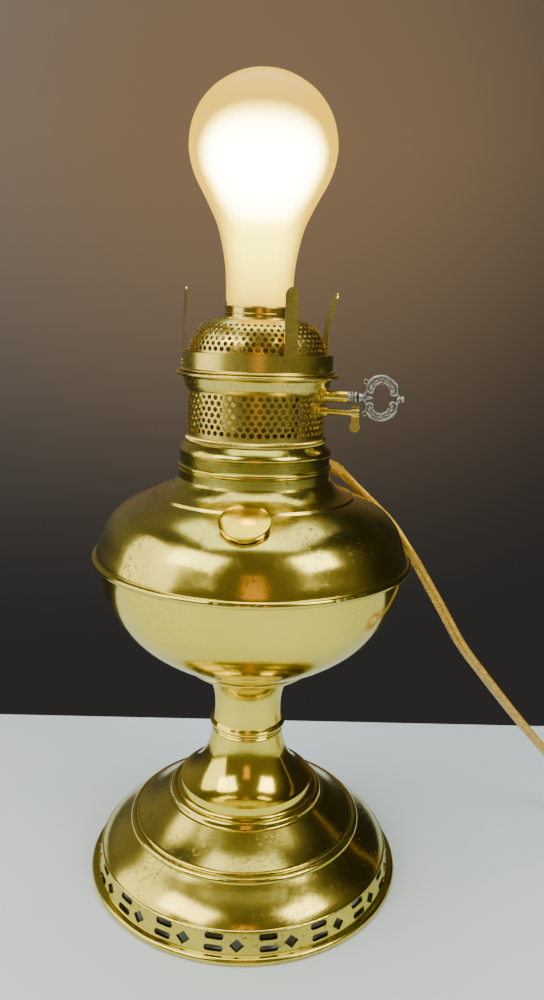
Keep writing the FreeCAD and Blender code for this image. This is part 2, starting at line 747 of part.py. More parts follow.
def socket_cap():
    outline = [
        [(5.0, DRAFT_TOP_Z + 1.2), (11.0, DRAFT_TOP_Z + 1.2)],
        [(11.0, DRAFT_TOP_Z + 1.2), (14.2, 239.4), (SOCKET_R, SOCKET_BOTTOM_Z)],
    ]
    return trimmed(sheet(outline, 0.7), DRAFT_TOP_Z, SOCKET_BOTTOM_Z)


def socket_body():
    """Moulded insulator that carries the contacts."""
    return turned([
        (0, 241.0), (11.5, 241.0), (13.2, 243.4), (13.2, 246.4), (5.2, 246.4), (5.2, 245.4), (0, 245.4),
    ])


def centre_contact():
    return turned([(0, 245.4), (4.6, 245.4), (4.6, 246.0), (2.4, 247.7), (0, 247.7)])


def socket_shell():
    shell = tube(SOCKET_R, SOCKET_R - SOCKET_WALL, SOCKET_BOTTOM_Z, SOCKET_TOP_Z)
    rolled = bead(SOCKET_R - 0.2, SOCKET_TOP_Z - 0.5, 0.5)
    groove = bead(SOCKET_R, 276.8, 0.35)
    return joined([shell, rolled, groove])


def socket_liner():
    return tube(LINER_R, LINER_R - 0.6, 246.8, 278.6)


def screw_shell():
    return tube(SCREW_SHELL_R, SCREW_SHELL_R - SCREW_SHELL_WALL, 246.8, 274.0)


def bulb_glass():
    outer = [
        [(12.8, BULB_NECK_Z - 2), (12.9, BULB_NECK_Z + 1), (13.6, 279.4), (14.8, 282.6), (15.1, 288),
         (15.5, 296), (16.9, 305), (19.5, 315), (24.3, 325), (29.6, 335), (32.0, 343),
         (32.35, 349.5), (31.0, 357), (27.6, 364.2), (21.4, 371), (11.4, 376.6), (0, BULB_TOP_Z)],
    ]
    inner = moved_in(outer, GLASS_WALL)
    inner[0][-1] = (0, BULB_TOP_Z - GLASS_WALL)
    return between(outer, inner)


def bulb_base():
    """Screw cap: rolled thread drawn as rings, closed in to the insulator."""
    low, high = 251.0, BULB_NECK_Z
    steps = 4 * 5
    wave = []
    for step in range(steps + 1):
        z = low + 1.6 + step * BULB_THREAD_PITCH / 4
        wave.append((12.6 + 0.4 * math.sin(step * math.pi / 2), z))
    outer = [
        [(9.6, low - 0.6), wave[0]],
        wave,
        [wave[-1], (12.8, high)],
    ]
    inner = [
        [(9.2, low), (11.8, low + 2.2)],
        [(11.8, low + 2.2), (11.8, BULB_NECK_Z - 2.2)],
        [(11.8, BULB_NECK_Z - 2.2), (12.3, BULB_NECK_Z)],
    ]
    return between(outer, inner)


def bulb_insulator():
    return turned([(0, 249.2), (4.6, 249.2), (9.5, 250.4), (9.1, 251.4), (0, 251.4)])


def bulb_contact():
    return turned([(0, BULB_BOTTOM_Z), (3.0, BULB_BOTTOM_Z), (4.5, 248.6), (4.5, 249.2), (0, 249.2)])


def bulb_stem():
    """Glass mount inside the neck, with its two lead wires."""
    mount = turned([(0, 277.0), (9.0, 277.0), (5.0, 282.0), (3.0, 300.0), (0, 300.0)])
    wires = [
        Part.makeCylinder(0.5, 46, V(side * 2.0, 0, 298.0), V(side * 0.22, 0, 1))
        for side in (-1, 1)
    ]
    return joined([mount] + wires)


def filament():
    """Coiled filament bowed between the two lead wires, as its outer shape."""
    arc = Part.Arc(V(-11.8, 0, 342.4), V(0, 0, 345.4), V(11.8, 0, 342.4))
    path = Part.Wire([arc.toShape()])
    start = Part.Wire([Part.makeCircle(0.8, V(-11.8, 0, 342.4), arc.tangent(arc.FirstParameter)[0])])
    return path.makePipeShell([start], True, False)


# ---------------------------------------------------------------- cord

def cord_tube(route, radius, name):
    """Straight runs joined by tangent arcs, with each arc's radius printed."""
    points = [V(*point) for point in route]
    edges = []
    radii = []
    at = points[0]
    for before, corner, after in zip(points, points[1:], points[2:]):
        back = before - corner
        ahead = after - corner
        turn = math.pi - back.getAngle(ahead)
        reach = 0.45 * min(back.Length, ahead.Length)
        radii.append(reach / math.tan(turn / 2))
        back.normalize()
        ahead.normalize()
        start = corner + back * reach
        end = corner + ahead * reach
        inward = back + ahead
        inward.normalize()
        to_centre = radii[-1] / math.cos(turn / 2)
        middle = corner + inward * (to_centre - radii[-1])
        edges.append(Part.makeLine(at, start))
        edges.append(Part.Arc(start, middle, end).toShape())
        at = end
    edges.append(Part.makeLine(at, points[-1]))
    path = Part.Wire(edges)
    circle = Part.Wire([Part.makeCircle(radius, points[0], points[1] - points[0])])
    solid = path.makePipeShell([circle], True, True)
    expected = math.pi * radius ** 2 * path.Length
    print(name, "length", round(path.Length, 1), "radii", [round(r, 1) for r in radii],
          "volume ratio", round(solid.Volume / expected, 4),
          "lowest", round(solid.optimalBoundingBox().ZMin, 2))
    return solid


def lead_point(radius, height):
    angle = math.radians(LEAD_AZIMUTH)
    return (radius * math.cos(angle), radius * math.sin(angle), height)


def cord_bushing():
    flange = Part.makeCylinder(4.1, 1.6, V(BUSHING_END - 2.2, 0, LEAD_Z), V(1, 0, 0))
    barrel = Part.makeCylinder(BUSHING_R, BUSHING_END - 30.8, V(30.8, 0, LEAD_Z), V(1, 0, 0))
    bore = Part.makeCylinder(CORD_R, 20, V(25, 0, LEAD_Z), V(1, 0, 0))
    return about_z(joined([barrel, flange]).cut(bore), LEAD_AZIMUTH)


def inner_lead():
    """The cord inside the lamp: in through both tubes, then up to the socket."""
    route = [lead_point(BUSHING_END, LEAD_Z), (0, 0, LEAD_Z), (0, 0, 241.0)]
    return cord_tube(route, CORD_R, "inner_lead")


def cord_lead():
    return cord_tube(CORD_ROUTE, CORD_R, "cord_lead")


def cord_coil():
    """Outer shape of the neat coil that the rest of the cord is wound in."""
    low, high = 0.2, COIL_H
    edge = 3.0
    coil = turned([
        (COIL_R - COIL_HALF_W + edge, low), (COIL_R + COIL_HALF_W - edge, low),
        (COIL_R + COIL_HALF_W, low + edge), (COIL_R + COIL_HALF_W, high - edge),
        (COIL_R + COIL_HALF_W - edge, high), (COIL_R - COIL_HALF_W + edge, high),
        (COIL_R - COIL_HALF_W, high - edge), (COIL_R - COIL_HALF_W, low + edge),
    ])
    coil.translate(V(COIL_CENTRE[0], COIL_CENTRE[1], 0))
    return coil


def tail_start():
    return V(COIL_CENTRE[0] + COIL_R, COIL_CENTRE[1], CORD_R + 0.2)


def cord_tail():
    """The last straight of the cord, from the coil to the plug."""
    return Part.makeCylinder(CORD_R, TAIL_LENGTH, tail_start(), V(0, 1, 0))


def plug_body():
    """Two-blade plug lying flat beside the coil, grip end toward the coil."""
    start = tail_start() + V(0, TAIL_LENGTH, 0)
    wide, deep, low, high = 24.0, 20.0, 0.0, 13.0
    x, y = start.x, start.y
    grip = Part.makePolygon([
        V(x - 4.5, y, low), V(x + 4.5, y, low), V(x + wide / 2, y + 9, low), V(x + wide / 2, y + deep, low),
        V(x - wide / 2, y + deep, low), V(x - wide / 2, y + 9, low), V(x - 4.5, y, low),
    ])
    return Part.Face(grip).extrude(V(0, 0, high))


def plug_blades():
    face_y = tail_start().y + TAIL_LENGTH + 20.0
    x = tail_start().x
    blades = [
        box((x + side * 6.35 - 0.75, face_y, 3.4), (x + side * 6.35 + 0.75, face_y + 16.5, 9.7))
        for side in (-1, 1)
    ]
    return Part.makeCompound(blades)


# ---------------------------------------------------------------- write every node

PARTS = [
    foot_shell, stem_cone, waist_ring, stem_cup, font_foot_ring, font_bowl, font_dome, burner_collar,
    filler_neck, filler_gasket, filler_cap, draft_tube, outer_wick_tube, burner_base_ring,
    burner_basket, key_sleeve, lever_bush, gallery_guide, chimney_seat, air_dome,
    dome_ring, wick_pinion, wick_spindle, wick_rack, wick_carrier, lift_pinion, lift_rod, lift_rack,
    lift_paddle, key_bow, key_ferrule, socket_adapter, socket_cap, socket_body, centre_contact,
    socket_shell, socket_liner, screw_shell, bulb_glass, bulb_base, bulb_insulator, bulb_contact,
    bulb_stem, filament, cord_bushing, inner_lead, cord_lead, cord_coil, cord_tail, plug_body,
    plug_blades,
]

for build in PARTS:
    save(build.__name__, build())

rivets = [about_z(rivet(), azimuth) for _, azimuth, _, _ in PRONGS]
save("prong_rivets", Part.makeCompound(rivets))
save("gallery_band", gallery_band().cut(Part.makeCompound(rivets)))
for (name, azimuth, tip_r, middle_r), pin in zip(PRONGS, rivets):
    save(name, about_z(prong_blank(tip_r, middle_r), azimuth).cut(pin))
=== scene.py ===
import json
import math

import bmesh
import bpy
from mathutils import Matrix, Vector


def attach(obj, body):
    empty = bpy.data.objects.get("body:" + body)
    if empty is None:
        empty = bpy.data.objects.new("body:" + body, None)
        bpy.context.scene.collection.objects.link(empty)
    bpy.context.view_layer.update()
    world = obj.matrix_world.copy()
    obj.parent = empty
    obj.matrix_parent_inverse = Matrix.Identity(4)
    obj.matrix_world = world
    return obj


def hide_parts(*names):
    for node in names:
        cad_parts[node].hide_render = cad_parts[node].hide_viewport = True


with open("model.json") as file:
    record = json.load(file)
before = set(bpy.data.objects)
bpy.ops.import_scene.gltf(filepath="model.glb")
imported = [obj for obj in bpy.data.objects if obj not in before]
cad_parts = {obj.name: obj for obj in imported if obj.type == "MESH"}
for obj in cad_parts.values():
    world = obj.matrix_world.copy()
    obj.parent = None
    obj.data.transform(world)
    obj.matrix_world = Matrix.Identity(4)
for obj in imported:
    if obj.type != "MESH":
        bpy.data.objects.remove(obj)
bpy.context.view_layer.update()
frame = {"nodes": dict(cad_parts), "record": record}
MM = 0.001

# The lamp's axis is Z. The filler cap is at the front (-Y), the wick key to the right (+X).


# ---------------------------------------------------------------- node graphs

class Graph:
    """A small builder for one material's node tree."""

    def __init__(self, name):
        self.material = bpy.data.materials.new(name)
        self.material.use_nodes = True
        self.tree = self.material.node_tree
        self.shader = self.tree.nodes["Principled BSDF"]
        self.place = self.add("ShaderNodeTexCoord").outputs["Object"]

    def add(self, kind, **settings):
        node = self.tree.nodes.new(kind)
        for key, value in settings.items():
            setattr(node, key, value)
        return node

    def link(self, output, target):
        self.tree.links.new(output, target)

    def math(self, operation, first, second=None, third=None):
        node = self.add("ShaderNodeMath", operation=operation)
        for socket, value in zip(node.inputs, (first, second, third)):
            self.feed(socket, value)
        return node.outputs[0]

    def feed(self, socket, value):
        """Link an output to the socket, or set the socket's own value."""
        if value is None:
            return
        if isinstance(value, bpy.types.NodeSocket):
            self.link(value, socket)
        else:
            socket.default_value = value

    def noise(self, scale, detail=4.0, roughness=0.55, vector=None):
        node = self.add("ShaderNodeTexNoise")
        node.inputs["Scale"].default_value = scale
        node.inputs["Detail"].default_value = detail
        node.inputs["Roughness"].default_value = roughness
        self.link(vector or self.place, node.inputs["Vector"])
        return node.outputs["Fac"]

    def ramp(self, value, low, high, start=0.0, end=1.0):
        """The value mapped from low..high to start..end, held at the ends."""
        node = self.add("ShaderNodeMapRange", clamp=True)
        for socket, number in zip(node.inputs, (value, low, high, start, end)):
            self.feed(socket, number)
        return node.outputs["Result"]

    def mix(self, factor, first, second):
        node = self.add("ShaderNodeMix", data_type="RGBA")
        self.feed(node.inputs["Factor"], factor)
        self.feed(node.inputs["A"], first)
        self.feed(node.inputs["B"], second)
        return node.outputs["Result"]

    def around(self):
        """Coordinates that are the same all round the lamp's axis: radius and height."""
        split = self.add("ShaderNodeSeparateXYZ")
        self.link(self.place, split.inputs[0])
        x, y, z = split.outputs
        across = self.math("ADD", self.math("MULTIPLY", x, x), self.math("MULTIPLY", y, y))
        join = self.add("ShaderNodeCombineXYZ")
        self.link(self.math("SQRT", across), join.inputs[0])
        self.link(z, join.inputs[1])
        return join.outputs[0]

    def bump(self, height, distance, strength=1.0, below=None):
        node = self.add("ShaderNodeBump")
        node.inputs["Strength"].default_value = strength
        node.inputs["Distance"].default_value = distance
        self.link(height, node.inputs["Height"])
        if below is not None:
            self.link(below, node.inputs["Normal"])
        return node.outputs["Normal"]


class SkyGraph(Graph):
    """The same builder for the world's node tree, where place is the direction looked in."""

    def __init__(self, world):
        world.use_nodes = True
        self.tree = world.node_tree
        self.place = self.add("ShaderNodeTexCoord").outputs["Generated"]


def rgba(color):
    return (*color, 1.0)


# ---------------------------------------------------------------- materials

def brass(name, base, shade, rough, speckle, speckle_color, spun=True):
    """Aged sheet brass: cloudy colour, dark tarnish specks and fine lines left by spinning."""
    graph = Graph(name)
    shader = graph.shader.inputs
    shader["Metallic"].default_value = 1.0
    cloud = graph.noise(16, detail=5)
    color = graph.mix(graph.ramp(cloud, 0.35, 0.68), rgba(base), rgba(shade))
    fine = graph.noise(520, detail=3, roughness=0.7)
    patch = graph.noise(34, detail=3)
    dots = graph.math("MULTIPLY", graph.ramp(fine, 0.54, 0.66), graph.ramp(patch, 0.40, 0.66))
    dots = graph.math("MULTIPLY", dots, speckle)
    color = graph.mix(dots, color, rgba(speckle_color))
    graph.link(color, shader["Base Color"])
    wear = graph.math("MULTIPLY_ADD", graph.noise(60, detail=6), 0.16, rough - 0.08)
    graph.link(graph.math("ADD", wear, graph.math("MULTIPLY", dots, 0.22)), shader["Roughness"])
    lines = graph.noise(2600, detail=2, vector=graph.around()) if spun else fine
    normal = graph.bump(lines, 0.00002, 0.35)
    normal = graph.bump(graph.noise(9, detail=2), 0.0012, 0.22, normal)
    graph.link(graph.bump(dots, 0.00004, 0.5, normal), shader["Normal"])
    return graph.material


def pewter():
    """Grey cast white metal, dark in its hollows."""
    graph = Graph("pewter")
    shader = graph.shader.inputs
    shader["Metallic"].default_value = 1.0
    geometry = graph.add("ShaderNodeNewGeometry")
    hollow = graph.ramp(geometry.outputs["Pointiness"], 0.44, 0.56)
    grain = graph.noise(700, detail=4)
    color = graph.mix(hollow, (0.03, 0.03, 0.028, 1), (0.36, 0.355, 0.33, 1))
    color = graph.mix(graph.ramp(grain, 0.40, 0.75, 0, 0.4), color, (0.20, 0.19, 0.17, 1))
    graph.link(color, shader["Base Color"])
    graph.link(graph.ramp(grain, 0.3, 0.7, 0.30, 0.48), shader["Roughness"])
    graph.link(graph.bump(grain, 0.00006, 0.5), shader["Normal"])
    return graph.material


def plain_metal(name, color, rough):
    graph = Graph(name)
    shader = graph.shader.inputs
    shader["Metallic"].default_value = 1.0
    grain = graph.noise(260, detail=5)
    darker = tuple(0.72 * part for part in color)
    graph.link(graph.mix(graph.ramp(grain, 0.35, 0.7), rgba(color), rgba(darker)), shader["Base Color"])
    graph.link(graph.ramp(grain, 0.3, 0.7, rough, rough + 0.14), shader["Roughness"])
    graph.link(graph.bump(grain, 0.00003, 0.4), shader["Normal"])
    return graph.material


def moulded(name, color, rough):
    """Moulded or card insulating parts with a fine grain."""
    graph = Graph(name)
    shader = graph.shader.inputs
    grain = graph.noise(900, detail=4)
    lighter = tuple(min(1.0, 1.5 * part + 0.01) for part in color)
    mixed = graph.mix(graph.ramp(grain, 0.4, 0.7), rgba(color), rgba(lighter))
    graph.link(mixed, shader["Base Color"])
    graph.link(graph.ramp(grain, 0.3, 0.7, rough, rough + 0.15), shader["Roughness"])
    graph.link(graph.bump(grain, 0.00004, 0.4), shader["Normal"])
    return graph.material


def cork():
    graph = Graph("cork")
    shader = graph.shader.inputs
    cells = graph.noise(1400, detail=5)
    graph.link(graph.mix(graph.ramp(cells, 0.4, 0.65), (0.20, 0.11, 0.05, 1), (0.52, 0.36, 0.2, 1)),
               shader["Base Color"])
    shader["Roughness"].default_value = 0.8
    graph.link(graph.bump(cells, 0.0001, 0.6), shader["Normal"])
    return graph.material


def frosted_glass():
    """Frosted bulb glass lit from inside: a white-hot core round the filament, a yellow glow
    down the neck and an amber rim through which a little of the backdrop shows."""
    graph = Graph("frosted_glass")
    shader = graph.shader.inputs
    frost = graph.noise(1500, detail=3)
    shader["Base Color"].default_value = (0.12, 0.06, 0.01, 1)
    shader["Specular IOR Level"].default_value = 0.18
    graph.link(graph.ramp(frost, 0.3, 0.7, 0.30, 0.42), shader["Roughness"])
    graph.link(graph.bump(frost, 0.00003, 0.3), shader["Normal"])
    facing = graph.add("ShaderNodeLayerWeight")
    facing.inputs["Blend"].default_value = 0.5
    split = graph.add("ShaderNodeSeparateXYZ")
    graph.link(graph.place, split.inputs[0])
    height = split.outputs[2]
    away = graph.math("DIVIDE", graph.math("SUBTRACT", height, GLOW_Z), GLOW_REACH)
    across = graph.math("DIVIDE", facing.outputs["Facing"], GLOW_WIDTH)
    squares = graph.math("ADD", graph.math("MULTIPLY", away, away), graph.math("MULTIPLY", across, across))
    core = graph.ramp(squares, 2.1, 0.2)
    throat = graph.math("MULTIPLY", graph.ramp(height, GLOW_Z + 0.005, GLOW_Z - 0.025),
                        graph.ramp(height, NECK_Z, NECK_Z + 0.03))
    throat = graph.math("MULTIPLY", throat, graph.ramp(facing.outputs["Facing"], 0.7, 0.1))
    amber = graph.mix(throat, (1.0, 0.60, 0.015, 1), (1.0, 0.86, 0.015, 1))
    amber = graph.mix(graph.ramp(core, 0.0, 0.4), amber, (1.0, 0.74, 0.08, 1))
    graph.link(graph.mix(graph.ramp(core, 0.4, 0.8), amber, (1.0, 0.86, 0.44, 1)), shader["Emission Color"])
    amber_glow = graph.math("MULTIPLY_ADD", throat, 5.0, 1.7)
    graph.link(graph.math("MULTIPLY_ADD", graph.math("POWER", core, 2.0), 26.0, amber_glow),
               shader["Emission Strength"])
    graph.link(graph.ramp(facing.outputs["Facing"], 0.9, 0.4, 0.85, 0.97), shader["Alpha"])
    return graph.material


def clear_glass():
    graph = Graph("clear_glass")
    shader = graph.shader.inputs
    shader["Base Color"].default_value = (1.0, 0.97, 0.9, 1)
    shader["Transmission Weight"].default_value = 1.0
    shader["IOR"].default_value = 1.45
    graph.link(graph.ramp(graph.noise(300), 0.3, 0.7, 0.03, 0.10), shader["Roughness"])
    return graph.material


def glowing(name, color, strength):
    graph = Graph(name)
    shader = graph.shader.inputs
    shader["Base Color"].default_value = rgba(color)
    shader["Emission Color"].default_value = rgba(color)
    graph.link(graph.ramp(graph.noise(400), 0.3, 0.7, 0.85 * strength, strength),
               shader["Emission Strength"])
    return graph.material


def cord_vinyl():
    """Clear amber-gold vinyl over twisted copper, seen as fine slanting strands."""
    graph = Graph("cord_vinyl")
    shader = graph.shader.inputs
    streak = graph.noise(300, detail=4)
    fine = graph.noise(1600, detail=2)
    color = graph.mix(graph.ramp(streak, 0.35, 0.7), (0.58, 0.31, 0.015, 1), (0.84, 0.52, 0.03, 1))
    color = graph.mix(graph.ramp(fine, 0.5, 0.8, 0, 0.35), color, (0.24, 0.12, 0.012, 1))
    graph.link(color, shader["Base Color"])
    shader["Metallic"].default_value = 0.25
    shader["Coat Weight"].default_value = 0.8
    shader["Coat Roughness"].default_value = 0.12
    shader["Subsurface Weight"].default_value = 0.15
    shader["Subsurface Radius"].default_value = (0.004, 0.002, 0.0006)
    graph.link(graph.ramp(fine, 0.3, 0.7, 0.24, 0.40), shader["Roughness"])
    graph.link(graph.bump(fine, 0.00004, 0.3), shader["Normal"])
    return graph.material


def table_top():
    graph = Graph("table_top")
    shader = graph.shader.inputs
    soft = graph.noise(2.5, detail=4)
    graph.link(graph.mix(graph.ramp(soft, 0.3, 0.7), (0.64, 0.77, 0.84, 1), (0.74, 0.82, 0.86, 1)),
               shader["Base Color"])
    shader["Roughness"].default_value = 0.55
    graph.link(graph.bump(graph.noise(900, detail=2), 0.00004, 0.2), shader["Normal"])
    return graph.material


GLOW_Z = 0.335
GLOW_REACH = 0.019
GLOW_WIDTH = 0.42
NECK_Z = 0.274
OLIVE = (0.78, 0.64, 0.10)
OLIVE_SHADE = (0.46, 0.39, 0.06)
GOLD = (0.90, 0.72, 0.09)
GOLD_SHADE = (0.76, 0.60, 0.06)
TARNISH = (0.10, 0.075, 0.03)
WARM = (0.80, 0.64, 0.12)

MATERIALS = {
    "spun_brass": brass("spun_brass", OLIVE, OLIVE_SHADE, 0.17, 0.75, TARNISH),
    "bright_brass": brass("bright_brass", GOLD, GOLD_SHADE, 0.13, 0.40, (0.32, 0.22, 0.08)),
    "burner_brass": brass("burner_brass", WARM, (0.54, 0.43, 0.08), 0.25, 0.6, TARNISH),
    "spring_brass": brass("spring_brass", (0.74, 0.58, 0.12), (0.46, 0.38, 0.08), 0.26, 0.6, TARNISH,
                          spun=False),
    "tube_brass": brass("tube_brass", (0.78, 0.60, 0.12), (0.58, 0.44, 0.08), 0.22, 0.4, TARNISH),
    "cap_brass": brass("cap_brass", (0.94, 0.70, 0.03), (0.78, 0.54, 0.02), 0.16, 0.4, TARNISH,
                       spun=False),
    "pewter": pewter(),
    "socket_metal": brass("socket_metal", (0.80, 0.62, 0.13), (0.60, 0.45, 0.08), 0.2, 0.3, TARNISH),
    "screw_metal": plain_metal("screw_metal", (0.78, 0.78, 0.76), 0.22),
    "insulator": moulded("insulator", (0.012, 0.011, 0.010), 0.35),
    "liner_card": moulded("liner_card", (0.16, 0.11, 0.07), 0.75),
    "contact_metal": plain_metal("contact_metal", (0.76, 0.62, 0.32), 0.25),
    "frosted_glass": frosted_glass(),
    "clear_glass": clear_glass(),
    "filament_wire": glowing("filament_wire", (1.0, 0.72, 0.38), 60.0),
    "cord_vinyl": cord_vinyl(),
    "cork": cork(),
}

for entry in frame["record"]["subparts"]:
    node = frame["nodes"][entry["node"]]
    node.data.materials.clear()
    node.data.materials.append(MATERIALS[entry["material_slot"]])


# ---------------------------------------------------------------- camera

def make_camera():
    """The viewpoint: close, a little above the bulb's socket, looking down at the foot."""
    data = bpy.data.cameras.new("camera")
    data.sensor_fit = "AUTO"
    data.sensor_width = 36.0
    data.lens = 28.868
    data.clip_start = 0.01
    camera = bpy.data.objects.new("camera", data)
    bpy.context.scene.collection.objects.link(camera)
    pitch, yaw, roll = (math.radians(angle) for angle in (12.3342, 1.3410, 1.9076))
    ahead = Vector((math.sin(yaw) * math.cos(pitch), math.cos(yaw) * math.cos(pitch), -math.sin(pitch)))
    level = Vector((math.cos(yaw), -math.sin(yaw), 0.0))
    above = level.cross(ahead)
    right = math.cos(roll) * level + math.sin(roll) * above
    upward = -math.sin(roll) * level + math.cos(roll) * above
    turn = Matrix((right, upward, -ahead)).transposed()
    camera.matrix_world = Matrix.Translation((0.0, -0.374, 0.27246)) @ turn.to_4x4()
    bpy.context.scene.camera = camera


make_camera()


# ---------------------------------------------------------------- mesh tools, in millimetres

MERGE = 2e-6

def smooth_line(points, steps=8):
    """A rounded line through the points (Catmull-Rom), with steps pieces between each two."""
    ends = [points[0]] + list(points) + [points[-1]]
    line = []
    for a, b, c, d in zip(ends, ends[1:], ends[2:], ends[3:]):
        for step in range(steps):
            t = step / steps
            line.append(tuple(
                0.5 * (2 * q + (r - p) * t + (2 * p - 5 * q + 4 * r - s) * t ** 2
                       + (3 * q - p - 3 * r + s) * t ** 3)
                for p, q, r, s in zip(a, b, c, d)))
    return line + [tuple(points[-1])]


def arc_line(centre, radius, start, end, steps=10):
    """Points round a circle in the radius-height plane, angles in degrees."""
    turns = [math.radians(start + (end - start) * step / steps) for step in range(steps + 1)]
    return [(centre[0] + radius * math.cos(t), centre[1] + radius * math.sin(t)) for t in turns]


def new_piece(name, verts, faces, material, body, stands_for=(), sharp=35, place=None):
    """A mesh piece from millimetre points, riding on a body; place moves it first."""
    mesh = bpy.data.meshes.new(name)
    mesh.from_pydata([Vector(v) for v in verts], [], faces)
    if place is not None:
        mesh.transform(place)
    mesh.transform(Matrix.Scale(MM, 4))
    mesh.validate()
    work = bmesh.new()
    work.from_mesh(mesh)
    bmesh.ops.remove_doubles(work, verts=work.verts, dist=MERGE)
    bmesh.ops.recalc_face_normals(work, faces=work.faces)
    work.to_mesh(mesh)
    work.free()
    mesh.shade_smooth()
    mesh.set_sharp_from_angle(angle=math.radians(sharp))
    mesh.materials.append(MATERIALS[material])
    piece = bpy.data.objects.new(name, mesh)
    bpy.context.scene.collection.objects.link(piece)
    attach(piece, body)
    if stands_for:
        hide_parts(*stands_for)
    return piece


def lathe(outline, segments=192, wave=None, closed=True):
    """A turned surface from an outline; wave(angle, r, z) may change a point's radius."""
    verts, faces = [], []
    count = len(outline)
    for turn in range(segments):
        angle = 2 * math.pi * turn / segments
        for r, z in outline:
            radius = wave(angle, r, z) if wave else r
            verts.append((radius * math.cos(angle), radius * math.sin(angle), z))
    for turn in range(segments):
        here, after = turn * count, (turn + 1) % segments * count
        for step in range(count if closed else count - 1):
            ahead = (step + 1) % count
            on_axis = outline[step][0] < 1e-6 and outline[ahead][0] < 1e-6
            if not on_axis:
                faces.append((here + step, after + step, after + ahead, here + ahead))
    return verts, faces


def joined(*meshes):
    """Several (verts, faces) pairs as one."""
    verts, faces = [], []
    for more_verts, more_faces in meshes:
        shift = len(verts)
        verts += more_verts
        faces += [tuple(index + shift for index in face) for face in more_faces]
    return verts, faces


def moved(mesh, matrix):
    verts, faces = mesh
    return [tuple(matrix @ Vector(v)) for v in verts], faces


def about_z(degrees):
    return Matrix.Rotation(math.radians(degrees), 4, "Z")


def loft(rings, closed_ends=True):
    """Skin through rings of the same number of points."""
    count = len(rings[0])
    verts = [point for ring in rings for point in ring]
    faces = []
    for level in range(len(rings) - 1):
        for step in range(count):
            ahead = (step + 1) % count
            low, high = level * count, (level + 1) * count
            faces.append((low + step, low + ahead, high + ahead, high + step))
    if closed_ends:
        faces.append(tuple(reversed(range(count))))
        faces.append(tuple(range(len(verts) - count, len(verts))))
    return verts, faces


def sheet_outline(outer, wall):
    """A closed outline of thin sheet: the outer line, then the same line set in by the wall."""
    inner = []
    for index, (r, z) in enumerate(outer):
        before, after = outer[max(index - 1, 0)], outer[min(index + 1, len(outer) - 1)]
        step = math.dist(before, after)
        across = ((before[1] - after[1]) / step, (after[0] - before[0]) / step)
        inner.append((r + across[0] * wall, z + across[1] * wall))
    return list(outer) + inner[::-1]


def perforated(first, spacing, rows, per_row, surface, hole_r, wall):
    """Staggered round holes punched in a turned sheet, in rows up the sheet from first.
    surface(v) gives radius, height, and the outward direction's radius and height parts."""
    pitch = 2 * math.pi / per_row
    quarters = [-0.5, -0.25, 0.0, 0.25]
    rim = ([(u, -0.5) for u in quarters] + [(0.5, v) for v in quarters]
           + [(-u, 0.5) for u in quarters] + [(-0.5, -v) for v in quarters])
    verts, faces = [], []
    for row in range(rows):
        middle = first + row * spacing
        radius = surface(middle)[0]
        for cell in range(per_row):
            centre = pitch * (cell + 0.5 * (row % 2))
            start = len(verts)
            for depth in (0.0, wall):
                for u, v in rim:
                    verts.append(on_surface(surface, centre + u * pitch, middle + v * spacing, depth))
                for step in range(16):
                    turn = math.radians(225 + 22.5 * step)
                    angle = centre + hole_r(row) * math.cos(turn) / radius
                    verts.append(on_surface(surface, angle, middle + hole_r(row) * math.sin(turn), depth))
            for step in range(16):
                ahead = (step + 1) % 16
                outer, hole = (start + step, start + ahead), (start + 16 + step, start + 16 + ahead)
                faces.append((outer[0], outer[1], hole[1], hole[0]))
                faces.append((outer[0] + 32, hole[0] + 32, hole[1] + 32, outer[1] + 32))
                faces.append((hole[0], hole[1], hole[1] + 32, hole[0] + 32))
    return verts, faces


def on_surface(surface, angle, v, depth):
    r, z, out_r, out_z = surface(v)
    r, z = r - depth * out_r, z - depth * out_z
    return (r * math.cos(angle), r * math.sin(angle), z)


def rod(points, radii, sides=14, flat=1.0):
    """A round bar along a line in the XZ plane; flat squeezes or widens it along Y."""
    rings = []
    for index, (x, z) in enumerate(points):
        before, after = points[max(index - 1, 0)], points[min(index + 1, len(points) - 1)]
        step = math.dist(before, after)
        across = ((after[1] - before[1]) / step, (before[0] - after[0]) / step)
        place = index / (len(points) - 1) * (len(radii) - 1)
        low = min(int(place), len(radii) - 2)
        radius = radii[low] + (radii[low + 1] - radii[low]) * (place - low)
        rings.append([
            (x + across[0] * radius * math.cos(turn), flat * radius * math.sin(turn),
             z + across[1] * radius * math.cos(turn))
            for turn in (2 * math.pi * side / sides for side in range(sides))
        ])
    return loft(rings)


def ball(centre, radius, segments=16):
    """A small ball, turned about its own upright axis."""
    profile = [(radius * math.cos(math.radians(a)) if abs(a) < 90 else 0.0,
                radius * math.sin(math.radians(a))) for a in range(-90, 91, 15)]
    return moved(lathe(profile, segments, closed=False), Matrix.Translation(centre))


def turned_x(outline, segments=48, wave=None):
    """A turned shape lying along X, from (radius, x) points."""
    return moved(lathe(outline, segments, wave), Matrix.Rotation(math.radians(90), 4, "Y"))


def spiral(centre, radii, start, turn, steps=14):
    """Points on a spiral, from the first radius to the second, angles in degrees."""
    points = []
    for step in range(steps + 1):
        t = step / steps
        radius = radii[0] + (radii[1] - radii[0]) * t
        angle = math.radians(start + turn * t)
        points.append((centre[0] + radius * math.cos(angle), centre[1] + radius * math.sin(angle)))
    return points


# ---------------------------------------------------------------- supply cord

